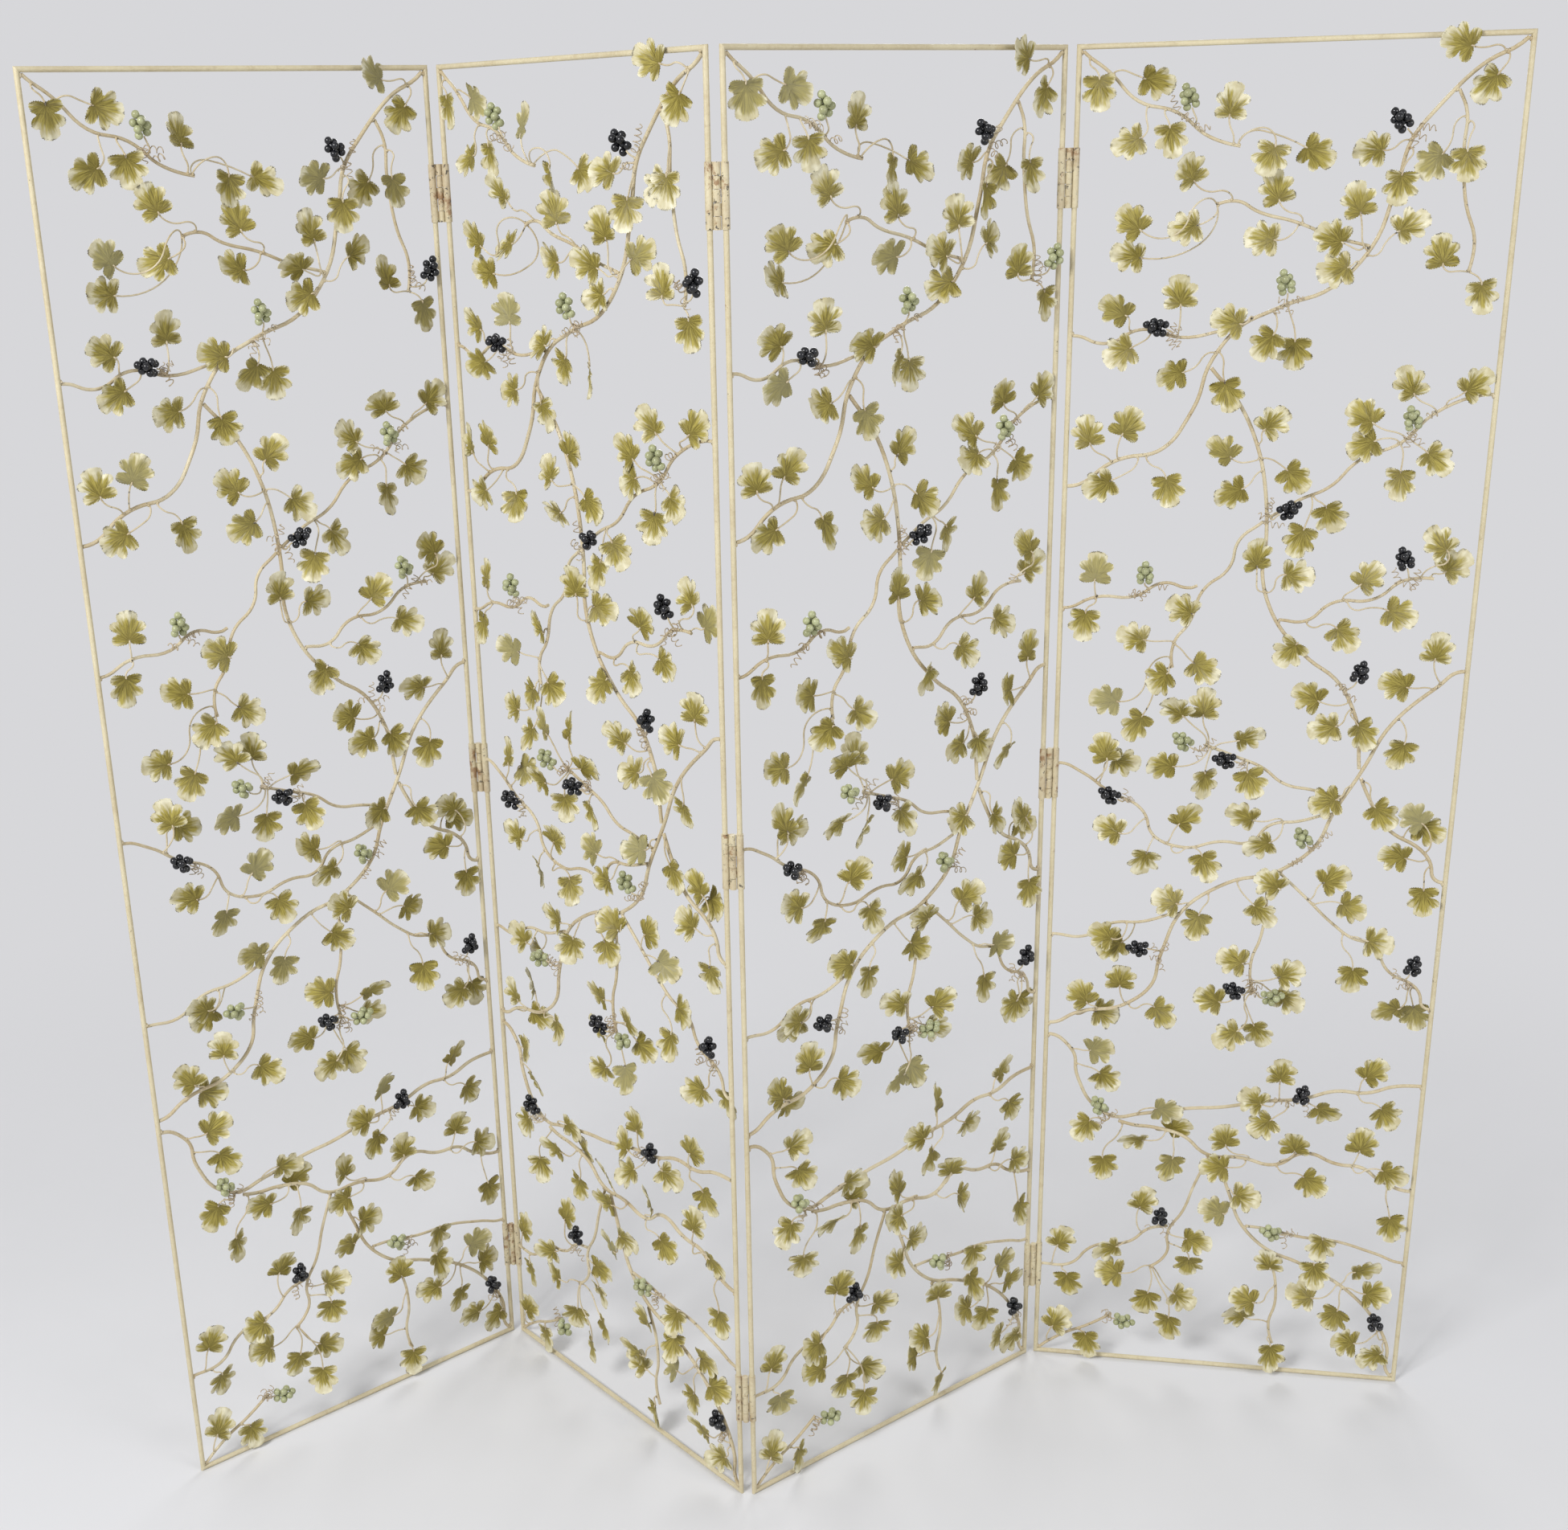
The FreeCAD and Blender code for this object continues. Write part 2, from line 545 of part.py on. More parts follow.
panel_placement = {2: panel_at(2, 2, Vector(0, 0, 0)), 3: panel_at(3, 2, Vector(0, 0, 0))}
pins = {2: Vector(0, 0, 0)}
pins[1] = panel_placement[2].multVec(pin_place(2, 1))
pins[3] = panel_placement[3].multVec(pin_place(3, 3))
panel_placement[1] = panel_at(1, 1, pins[1])
panel_placement[4] = panel_at(4, 3, pins[3])

sub_parts = []


def add_shape(label, shape, placement):
    made = doc.addObject("Part::Feature", label)
    made.Shape = shape
    made.Placement = placement
    made.Label = label
    sub_parts.append(made)
    return made


# Frame rods, mitred at both ends


def frame_rod(label, span, placement):
    """A mitred rod along +Z between corner centres, its inner side towards +Y."""
    bar = doc.addObject("Part::Cylinder", f"{label}_bar")
    bar.setExpression("Radius", "sizes.rod_diameter / 2")
    bar.setExpression("Height", f"{span} + sizes.rod_diameter")
    bar.setExpression("Placement.Base.z", "-sizes.rod_diameter / 2")
    mitre = doc.addObject("Part::Wedge", f"{label}_mitre")
    bounds = {
        "Xmin": "-sizes.rod_diameter", "Xmax": "sizes.rod_diameter",
        "X2min": "-sizes.rod_diameter", "X2max": "sizes.rod_diameter",
        "Ymin": "-sizes.rod_diameter", "Ymax": "sizes.rod_diameter",
        "Zmin": "-sizes.rod_diameter", "Zmax": f"{span} + sizes.rod_diameter",
        "Z2min": "sizes.rod_diameter", "Z2max": f"{span} - sizes.rod_diameter",
    }
    for name, expression in bounds.items():
        mitre.setExpression(name, expression)
    rod = doc.addObject("Part::Common", label)
    rod.Base = bar
    rod.Tool = mitre
    rod.Placement = placement
    rod.Label = label
    sub_parts.append(rod)


FRAME_HIGH = "(sizes.panel_height - sizes.rod_diameter)"
FRAME_WIDE = "(sizes.panel_width - sizes.rod_diameter)"
UP, RIGHT = Vector(0, 0, 1), Vector(1, 0, 0)
FRAME_RODS = {
    "left_stile": (FRAME_HIGH, Vector(0, 0, ROD_R), RIGHT, UP),
    "right_stile": (FRAME_HIGH, Vector(SPAN_X, 0, ROD_R), RIGHT * -1, UP),
    "bottom_rail": (FRAME_WIDE, Vector(0, 0, ROD_R), UP, RIGHT),
    "top_rail": (FRAME_WIDE, Vector(0, 0, ROD_R + SPAN_Z), UP * -1, RIGHT),
}
for panel in PANELS:
    for name, (span, corner, inner, along) in FRAME_RODS.items():
        local = Placement(corner, Rotation(Vector(), inner, along, "ZYX"))
        frame_rod(f"panel_{panel}_{name}", span, panel_placement[panel].multiply(local))

# Vines, leaves, bunches and tendrils of each panel

leaf = leaf_solid()
for panel in PANELS:
    where = panel_placement[panel]
    main, side = vines_of(panel)
    places = [sample for vine in main + side for sample in vine.samples()]
    blades, stalks, balls = [], [], {"G": [], "B": []}
    for number, row in enumerate(LEAVES):
        front = BACK not in row
        lift = size("leaf_lift") * (1 if front else -1)
        placed = leaf_placement(number, *row[:3], lift)
        blade = leaf.copy()
        blade.Placement = placed
        blades.append(blade)
        stalks.append(leaf_stalk(placed, nearest(places, *row[3:5]), front))
    for x, z, heading, near_x, near_z, colours in BUNCHES:
        colour = colours[panel - 1]
        if colour not in balls:
            continue
        centres, end, end_tangent = bunch_balls(x, z, heading)
        balls[colour] += [Part.makeSphere(GRAPE_R, centre) for centre in centres]
        stalks.append(bunch_stalk(end, end_tangent, nearest(places, near_x, near_z)))
    paths = [tendril_path(nearest(places, x, z), heading) for x, z, heading in TENDRILS]
    coils = [tube(edges, start_tangent, WIRE_R) for edges, start_tangent in paths]
    gaps = [least_gap(edges) for edges, _ in paths]
    print(f"panel {panel} tendrils' least gap to themselves", round(min(gaps), 2))
    add_shape(f"panel_{panel}_main_vines", rods_of(main), where)
    add_shape(f"panel_{panel}_side_vines", rods_of(side), where)
    add_shape(f"panel_{panel}_leaves", Part.makeCompound(blades), where)
    add_shape(f"panel_{panel}_stalks", Part.makeCompound(stalks), where)
    add_shape(f"panel_{panel}_tendrils", Part.makeCompound(coils), where)
    for name, letter in COLOURS.items():
        add_shape(f"panel_{panel}_{name}_grapes", Part.makeCompound(balls[letter]), where)

# Hinges: a sheet leaf wrapped round each stile, with knuckles on a loose pin

SLEEVE = "(sizes.rod_diameter / 2 + sizes.sleeve_clearance + sizes.hinge_sheet)"
KNUCKLE_HIGH = f"sizes.hinge_height / {KNUCKLES}"


def upright(name, radius, height, x="0", y="0", middle="0"):
    """A cylinder along Z, by its middle height, with every size bound to the sheet."""
    made = doc.addObject("Part::Cylinder", name)
    made.setExpression("Radius", radius)
    made.setExpression("Height", height)
    made.setExpression("Placement.Base.x", x)
    made.setExpression("Placement.Base.y", y)
    made.setExpression("Placement.Base.z", f"{middle} - ({height}) / 2")
    return made


def hinge_strap(name):
    """The sheet from the sleeve to the knuckles, along the line between their axes."""
    strap = doc.addObject("Part::Box", name)
    lean = "atan2(sizes.hinge_offset; sizes.hinge_reach)"
    strap.setExpression("Length", "sqrt(sizes.hinge_reach ^ 2 + sizes.hinge_offset ^ 2)")
    strap.setExpression("Width", "sizes.hinge_sheet")
    strap.setExpression("Height", "sizes.hinge_height")
    strap.setExpression("Placement.Rotation.Angle", lean)
    strap.setExpression("Placement.Base.x", f"sin({lean}) * sizes.hinge_sheet / 2")
    strap.setExpression("Placement.Base.y", f"-cos({lean}) * sizes.hinge_sheet / 2")
    strap.setExpression("Placement.Base.z", "-sizes.hinge_height / 2")
    return strap


def hinge_leaf(name, other_knuckles):
    """One hinge leaf about its stile's axis, the pin towards +X and +Y, cut for the other's knuckles."""
    pin_x, pin_y = "sizes.hinge_reach", "sizes.hinge_offset"
    whole = doc.addObject("Part::MultiFuse", f"{name}_whole")
    whole.Shapes = [
        upright(f"{name}_sleeve", SLEEVE, "sizes.hinge_height"),
        upright(f"{name}_barrel", "sizes.knuckle_diameter / 2", "sizes.hinge_height", pin_x, pin_y),
        hinge_strap(f"{name}_strap"),
    ]
    rod_bore = "sizes.rod_diameter / 2 + sizes.sleeve_clearance"
    pin_bore = "sizes.pin_diameter / 2 + sizes.pin_clearance"
    through = "sizes.hinge_height * 2"
    cuts = [
        upright(f"{name}_rod_bore", rod_bore, through),
        upright(f"{name}_pin_bore", pin_bore, through, pin_x, pin_y),
    ]
    for number in other_knuckles:
        cuts.append(upright(
            f"{name}_gap_{number}", "sizes.knuckle_diameter / 2 + sizes.knuckle_gap",
            f"{KNUCKLE_HIGH} + sizes.knuckle_gap", pin_x, pin_y,
            f"({number} - {(KNUCKLES - 1) / 2}) * {KNUCKLE_HIGH}",
        ))
    removed = doc.addObject("Part::MultiFuse", f"{name}_removed")
    removed.Shapes = cuts
    made = doc.addObject("Part::Cut", name)
    made.Base = whole
    made.Tool = removed
    return made


left_leaf = hinge_leaf("left_hinge_leaf", range(1, KNUCKLES, 2))
right_leaf = hinge_leaf("right_hinge_leaf", range(0, KNUCKLES, 2))
pin = upright("hinge_pin", "sizes.pin_diameter / 2", "sizes.hinge_height")
doc.recompute()

# Turns that bring a hinge leaf's pin to the front or back of its stile
HALF_TURN = 180
PIN_TURN = {
    ("left", 1): Rotation(RIGHT, HALF_TURN), ("left", -1): Rotation(),
    ("right", 1): Rotation(UP, HALF_TURN), ("right", -1): Rotation(Vector(0, 1, 0), HALF_TURN),
}


def three_of(shape, local, where):
    """A compound of one hinge piece at each hinge height of a fold."""
    copies = []
    for height in HINGE_HEIGHTS:
        copy = shape.copy()
        copy.Placement = where.multiply(Placement(Vector(0, 0, height), Rotation())).multiply(local)
        copies.append(copy)
    return Part.makeCompound(copies)


for fold, side in PIN_SIDE.items():
    left_side = Placement(Vector(SPAN_X, 0, 0), PIN_TURN["left", side])
    right_side = Placement(Vector(), PIN_TURN["right", side])
    name = f"fold_{fold}_{fold + 1}"
    left_leaves = three_of(left_leaf.Shape, left_side, panel_placement[fold])
    right_leaves = three_of(right_leaf.Shape, right_side, panel_placement[fold + 1])
    fold_pins = three_of(pin.Shape, pin.Placement, Placement(pins[fold], Rotation()))
    add_shape(f"{name}_left_hinge_leaves", left_leaves, Placement())
    add_shape(f"{name}_right_hinge_leaves", right_leaves, Placement())
    add_shape(f"{name}_pins", fold_pins, Placement())

doc.recompute()
for made in doc.Objects:
    if "Invalid" in made.State or "Error" in made.State:
        raise RuntimeError(f"{made.Label} failed")
for made in sub_parts:
    if made.Shape.isNull() or not made.Shape.isValid():
        raise RuntimeError(f"{made.Label} has no valid shape")
os.makedirs("parts", exist_ok=True)
for made in sub_parts:
    made.Shape.exportStep(f"parts/{made.Label}.step")
    print(made.Label, len(made.Shape.Solids), round(made.Shape.Volume))
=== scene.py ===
import itertools
import json
import math

import bpy
import numpy as np
from mathutils import Matrix, Vector
from mathutils.bvhtree import BVHTree


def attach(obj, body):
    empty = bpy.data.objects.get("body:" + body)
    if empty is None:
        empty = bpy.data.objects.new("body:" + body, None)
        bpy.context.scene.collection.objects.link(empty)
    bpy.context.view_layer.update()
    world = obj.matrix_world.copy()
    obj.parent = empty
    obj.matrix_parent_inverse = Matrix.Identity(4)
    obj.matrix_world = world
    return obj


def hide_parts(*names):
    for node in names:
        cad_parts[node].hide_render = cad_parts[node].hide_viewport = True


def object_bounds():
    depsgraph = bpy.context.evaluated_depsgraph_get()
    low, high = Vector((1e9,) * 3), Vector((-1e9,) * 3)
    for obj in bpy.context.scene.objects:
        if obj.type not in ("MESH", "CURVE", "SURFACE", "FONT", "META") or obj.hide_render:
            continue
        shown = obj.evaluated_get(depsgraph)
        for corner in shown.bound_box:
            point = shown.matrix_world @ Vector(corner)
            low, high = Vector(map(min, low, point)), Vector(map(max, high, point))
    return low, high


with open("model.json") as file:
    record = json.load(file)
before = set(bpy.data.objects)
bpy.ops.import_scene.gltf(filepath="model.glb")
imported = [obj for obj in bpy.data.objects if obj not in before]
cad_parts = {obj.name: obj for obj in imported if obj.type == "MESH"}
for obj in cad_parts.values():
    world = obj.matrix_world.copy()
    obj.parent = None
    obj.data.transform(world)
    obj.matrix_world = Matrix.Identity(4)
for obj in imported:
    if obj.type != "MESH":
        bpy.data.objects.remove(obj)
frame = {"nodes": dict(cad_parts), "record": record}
cad_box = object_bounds()
PANELS = (1, 2, 3, 4)
MM = 0.001


# Materials


class Nodes:
    """A material's node tree, with short ways to add and join nodes."""

    def __init__(self, name):
        self.material = bpy.data.materials.new(name)
        self.material.use_nodes = True
        self.tree = self.material.node_tree
        self.shader = self.tree.nodes["Principled BSDF"]
        self.place = self.add("ShaderNodeTexCoord").outputs["Object"]

    def add(self, kind, **settings):
        node = self.tree.nodes.new(kind)
        for name, value in settings.items():
            setattr(node, name, value)
        return node

    def feed(self, socket, value):
        if isinstance(value, bpy.types.NodeSocket):
            self.tree.links.new(value, socket)
        else:
            socket.default_value = value

    def noise(self, scale, detail=3.0, rough=0.55, vector=None):
        node = self.add("ShaderNodeTexNoise")
        self.feed(node.inputs["Vector"], self.place if vector is None else vector)
        node.inputs["Scale"].default_value = scale
        node.inputs["Detail"].default_value = detail
        node.inputs["Roughness"].default_value = rough
        return node.outputs["Fac"]

    def math(self, operation, a, b=0.0):
        node = self.add("ShaderNodeMath", operation=operation)
        self.feed(node.inputs[0], a)
        self.feed(node.inputs[1], b)
        return node.outputs[0]

    def steps(self, value, low, high, out_low=0.0, out_high=1.0):
        """A smooth rise from out_low at low to out_high at high."""
        node = self.add("ShaderNodeMapRange", interpolation_type="SMOOTHSTEP")
        for name, number in zip(("Value", "From Min", "From Max", "To Min", "To Max"),
                                (value, low, high, out_low, out_high)):
            self.feed(node.inputs[name], number)
        return node.outputs["Result"]

    def mix(self, share, a, b):
        node = self.add("ShaderNodeMix", data_type="RGBA")
        self.feed(node.inputs["Factor"], share)
        self.feed(node.inputs[6], a if isinstance(a, bpy.types.NodeSocket) else (*a, 1))
        self.feed(node.inputs[7], b if isinstance(b, bpy.types.NodeSocket) else (*b, 1))
        return node.outputs[2]

    def attribute(self, name):
        return self.add("ShaderNodeAttribute", attribute_name=name).outputs["Fac"]

    def join(self, x, y, z):
        node = self.add("ShaderNodeCombineXYZ")
        for socket, value in zip(node.inputs, (x, y, z)):
            self.feed(socket, value)
        return node.outputs[0]

    def finish(self, colour, roughness, bump=None, depth=0.3 * MM, strength=0.5):
        """The material with its colour, roughness and, if given, bump."""
        self.feed(self.shader.inputs["Base Color"], colour)
        self.feed(self.shader.inputs["Roughness"], roughness)
        if bump is not None:
            node = self.add("ShaderNodeBump")
            node.inputs["Distance"].default_value = depth
            node.inputs["Strength"].default_value = strength
            self.feed(node.inputs["Height"], bump)
            self.feed(self.shader.inputs["Normal"], node.outputs["Normal"])
        return self.material


CREAM = (0.61, 0.54, 0.355)
IVORY = (0.70, 0.65, 0.49)
TAN = (0.38, 0.285, 0.145)
RUST = (0.24, 0.115, 0.04)
BARE = (0.035, 0.028, 0.022)


def worn_paint(name, light, dark, chips, rust, stain):
    """Old brushed enamel on wire: uneven tone, brown glaze in patches, chips to dark metal."""
    n = Nodes(name)
    tone = n.steps(n.noise(scale=14, detail=4), 0.35, 0.68)
    colour = n.mix(tone, dark, light)
    brush = n.steps(n.noise(scale=260, detail=4, rough=0.7), 0.38, 0.7)
    colour = n.mix(n.math("MULTIPLY", brush, 0.3), colour, IVORY)
    glaze = n.steps(n.noise(scale=70, detail=5, rough=0.7), 0.54, 0.68)
    colour = n.mix(n.math("MULTIPLY", glaze, stain), colour, TAN)
    rusted = n.steps(n.noise(scale=38, detail=6, rough=0.72), 0.70 - rust, 0.78 - rust)
    colour = n.mix(n.math("MULTIPLY", rusted, 0.8), colour, RUST)
    chip_edge = 0.70 - chips
    chipped = n.steps(n.noise(scale=150, detail=5, rough=0.74), chip_edge, chip_edge + 0.03)
    colour = n.mix(n.math("MULTIPLY", chipped, 0.9), colour, BARE)
    roughness = n.steps(n.noise(scale=90, detail=3), 0.3, 0.7, 0.36, 0.62)
    height = n.math("SUBTRACT", n.math("MULTIPLY", brush, 0.4), chipped)
    return n.finish(colour, roughness, bump=height, depth=0.4 * MM, strength=0.45)


CREAM_LOW, CREAM_HIGH = (0.52, 0.465, 0.275), (0.72, 0.68, 0.50)
OLIVE_DEEP, OLIVE_THIN = (0.125, 0.095, 0.004), (0.375, 0.31, 0.06)
OLIVE_GREY = (0.34, 0.32, 0.18)


def leaf_paint():
    """Olive glaze dry-brushed from the stalk outwards over cream, with dark teeth: partly chipped paint,
    partly painted shade of the curled rim.
    """
    n = Nodes("leaf_glaze")
    spoke, reach = n.attribute("spoke"), n.attribute("reach")
    tone, seed, rim = n.attribute("tone"), n.attribute("seed"), n.attribute("rim")

    def streaks(across, outward, detail):
        """Noise drawn out along the leaf's ribs."""
        wide, long = n.math("MULTIPLY", spoke, across), n.math("MULTIPLY", reach, outward)
        return n.noise(scale=1.0, detail=detail, rough=0.65, vector=n.join(wide, long, seed))

    strokes, hairs, patches = streaks(5.0, 1.2, 3), streaks(14.0, 1.8, 3), streaks(1.8, 2.4, 2)
    bare_rim = n.math("MULTIPLY", n.math("MULTIPLY", rim, rim), -0.45)
    shares = ((strokes, 1.2), (patches, 0.6), (hairs, 0.35), (tone, 0.25), (reach, -0.55), (bare_rim, 1.0))
    loaded = 0.0
    for value, share in shares:
        loaded = n.math("ADD", loaded, n.math("MULTIPLY", value, share))
    glaze = n.steps(loaded, 0.40, 0.78)
    cream = n.mix(n.steps(patches, 0.35, 0.65), CREAM_LOW, CREAM_HIGH)
    thinned = n.math("ADD", hairs, n.math("MULTIPLY", reach, 0.3))
    green = n.mix(n.steps(thinned, 0.44, 0.84), OLIVE_DEEP, OLIVE_THIN)
    green = n.mix(n.math("MULTIPLY", n.steps(tone, 0.88, 1.0), 0.5), green, OLIVE_GREY)
    colour = n.mix(glaze, cream, green)
    # Dark teeth at the rim: partly paint chipped to dark metal, partly painted shade of the curled leaf
    # edge
    spots = n.steps(n.noise(scale=110, detail=4, rough=0.7), 0.53, 0.61)
    chipped_and_shaded_teeth = n.math("MULTIPLY", n.steps(rim, 0.9, 1.0), spots)
    colour = n.mix(n.math("MULTIPLY", chipped_and_shaded_teeth, 0.85), colour, BARE)
    roughness = n.steps(hairs, 0.3, 0.7, 0.42, 0.62)
    ribs = n.math("ADD", hairs, n.math("MULTIPLY", strokes, 0.6))
    return n.finish(colour, roughness, bump=ribs, depth=0.4 * MM, strength=0.5)


def bead_enamel(name, body, shade, speck, roughness):
    """Thick glossy enamel on balls, with random darker patches as painted shade."""
    n = Nodes(name)
    colour = n.mix(n.steps(n.noise(scale=70, detail=3), 0.38, 0.66), shade, body)
    worn = n.steps(n.noise(scale=230, detail=4, rough=0.7), 0.64, 0.70)
    colour = n.mix(n.math("MULTIPLY", worn, 0.6), colour, speck)
    gloss = n.steps(n.noise(scale=120, detail=2), 0.3, 0.7, roughness, roughness * 1.8)
    uneven = n.noise(scale=160, detail=2)
    return n.finish(colour, gloss, bump=uneven, depth=0.3 * MM, strength=0.15)


# Light colour, dark colour, and how much of the paint is chipped, rusted and stained
WORN_PAINTS = {
    "frame": (CREAM, (0.52, 0.445, 0.28), 0.03, 0.045, 0.3),
    "vine": ((0.60, 0.52, 0.345), (0.45, 0.36, 0.21), 0.07, 0.03, 0.5),
    "stalk": ((0.60, 0.52, 0.36), (0.46, 0.375, 0.225), 0.07, 0.03, 0.5),
    "knot": ((0.58, 0.50, 0.34), (0.42, 0.33, 0.19), 0.14, 0.06, 0.5),
    "tendril": ((0.50, 0.42, 0.30), (0.38, 0.29, 0.18), 0.09, 0.05, 0.5),
    "hinge": (CREAM, (0.46, 0.37, 0.23), 0.11, 0.16, 0.6),
}
# Body colour, shade, colour of worn specks, and least roughness
BEAD_ENAMELS = {
    "green": ((0.42, 0.44, 0.25), (0.30, 0.31, 0.16), (0.58, 0.54, 0.38), 0.22),
    "black": ((0.012, 0.013, 0.016), (0.006, 0.006, 0.008), (0.05, 0.05, 0.05), 0.14),
}
paints = {f"{kind}_paint": worn_paint(f"{kind}_enamel", *look) for kind, look in WORN_PAINTS.items()}
for colour_name, look in BEAD_ENAMELS.items():
    paints[f"{colour_name}_enamel"] = bead_enamel(f"{colour_name}_bead", *look)
paints["leaf_paint"] = leaf_paint()
for entry in frame["record"]["subparts"]:
    mesh = frame["nodes"][entry["node"]].data
    mesh.materials.clear()
    mesh.materials.append(paints[entry["material_slot"]])


# Reading the places of repeated pieces from the frame


def node_arrays(node):
    """A node's vertices, equal ones joined, and its edges on them."""
    mesh = frame["nodes"][node].data
    places = np.empty(len(mesh.vertices) * 3, dtype=np.float32)
    mesh.vertices.foreach_get("co", places)
    ends = np.empty(len(mesh.edges) * 2, dtype=np.int32)
    mesh.edges.foreach_get("vertices", ends)
    joined, index = np.unique(np.round(places.reshape(-1, 3), 6), axis=0, return_inverse=True)
    return joined, index.reshape(-1)[ends.reshape(-1, 2)]


def islands(node):
    """The vertices of each separate solid of a node."""
    places, ends = node_arrays(node)
    group = np.arange(len(places))
    while True:
        low = np.minimum(group[ends[:, 0]], group[ends[:, 1]])
        spread = group.copy()
        np.minimum.at(spread, ends[:, 0], low)
        np.minimum.at(spread, ends[:, 1], low)
        spread = spread[spread]
        if (spread == group).all():
            break
        group = spread
    order = np.argsort(group, kind="stable")
    starts = np.flatnonzero(np.diff(group[order])) + 1
    return [places[part] for part in np.split(order, starts)]


def unit(v):
    return v / np.linalg.norm(v)


def surface(*nodes):
    """A search tree over the faces of nodes."""
    places, faces = [], []
    for node in nodes:
        mesh = frame["nodes"][node].data
        start = len(places)
        places += [v.co.copy() for v in mesh.vertices]
        faces += [[start + i for i in face.vertices] for face in mesh.polygons]
    return BVHTree.FromPolygons(places, faces)


SHARP_DEGREES = 65


def add_piece(name, places, faces, slot, body, values=None, paint=None):
    """A smooth mesh piece that rides on a body, with named values on its points."""
    mesh = bpy.data.meshes.new(name)
    mesh.from_pydata([tuple(p) for p in places], [], faces)
    mesh.shade_smooth()
    mesh.set_sharp_from_angle(angle=math.radians(SHARP_DEGREES))
    for key, numbers in (values or {}).items():
        attribute = mesh.attributes.new(key, "FLOAT", "POINT")
        attribute.data.foreach_set("value", np.asarray(numbers, dtype=np.float32))
    mesh.materials.append(paints[paint or slot])
    piece = bpy.data.objects.new(name, mesh)
    bpy.context.scene.collection.objects.link(piece)
    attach(piece, body)
    return piece


SIDES = ("left", "right")


def panel_axes(panel):
    """A panel's left stile, its width and its directions across and to the front."""
    left, right = (islands(f"panel_{panel}_{side}_stile")[0].mean(axis=0) for side in SIDES)
    span = (right - left) * (1, 1, 0)
    across = unit(span)
    return left, np.linalg.norm(span), across, np.cross(across, (0.0, 0.0, 1.0))


# Leaves

LEAF_HEART = 8 * MM
LEAF_REACH = 40 * MM
LEAF_SHEET = 0.5 * MM
LEAF_PLEAT = 2.5 * MM
LEAF_CREASE = 0.7 * MM
VEIN_START = 3 * MM
VEIN_EASE = 18 * MM
LEAF_BEND = 3.5 * MM
MESH_HEART = 11 * MM
# One side of the outline in millimetres, stalk to tip, with the pleat's height as a share
OUTLINE = [
    (0.0, 1.5, 0.0), (3.0, -1.0, 0.15), (9.0, -2.2, 0.35), (15.0, -2.4, 0.5), (19.0, -0.5, 0.6),
    (20.0, 4.0, 0.6), (18.6, 8.4, 0.5), (14.0, 10.6, 0.25), (9.0, 12.2, 0.0), (13.6, 13.6, 0.35),
    (18.6, 15.4, 0.75), (21.4, 19.0, 1.0), (20.8, 23.6, 0.95), (16.4, 26.4, 0.6), (11.0, 26.6, 0.1),
    (12.4, 30.4, 0.45), (12.2, 35.2, 0.8), (7.4, 38.2, 1.0), (3.0, 39.0, 1.1), (0.0, 39.4, 1.2),
]
# How far from the midrib the cut between the two lower lobes reaches, on each side of a leaf
CUT_POINT = 8
CUTS = [(7.2, 13.5), (13.5, 7.4), (9.0, 10.5), (14.0, 12.0), (7.0, 11.5), (12.0, 8.0)]
TOOTH_PITCH = 2.5
TOOTH_DEPTH = 1.1
LEAF_RINGS = (0.3, 0.55, 0.8, 1.0)
# Leaves are bent over on their stalks as far as the wires beside them and the folds leave room
NEAR_LEAVES = ("main_vines", "side_vines", "green_grapes", "black_grapes", "left_stile", "right_stile")
LEAF_CLEARANCE = 0.6 * MM
TURN_TRIES = (1.0, 1.0, 1.0, 0.7, 0.7, 0.4, 0.4, 0.2, 0.0)
# The range of each blade's width and length, as shares
BLADE_LEAST, BLADE_MOST = (0.96, 0.97), (1.04, 1.03)
# Half the range of roll and pitch in radians, and of cup, twist and droop in bend per square metre
TURN_RANGE = np.array((0.5, 0.25, 10, 8, 5))
LEAF_SEED = 40
SEED_SPREAD = 60
CLOSED_DEGREES = 25
PIN_REACH = 8 * MM
PIN_PROUD = 4.5 * MM
FOLD_SPARE = 0.5 * MM


def leaf_side(cut):
    """One side of the toothed rim: places in millimetres and pleat shares."""
    outline = list(OUTLINE)
    outline[CUT_POINT] = (cut, *OUTLINE[CUT_POINT][1:])
    side = []
    for (x0, y0, h0), (x1, y1, h1) in zip(outline, outline[1:]):
        length = math.hypot(x1 - x0, y1 - y0)
        count = max(2, 2 * round(length / TOOTH_PITCH))
        for n in range(count):
            t = n / count
            out = TOOTH_DEPTH * (0.5 if n % 2 else -0.5)
            x = x0 + (x1 - x0) * t + (y1 - y0) / length * out
            y = y0 + (y1 - y0) * t - (x1 - x0) / length * out
            side.append((max(0.0, x), y, h0 + (h1 - h0) * t))
    return side


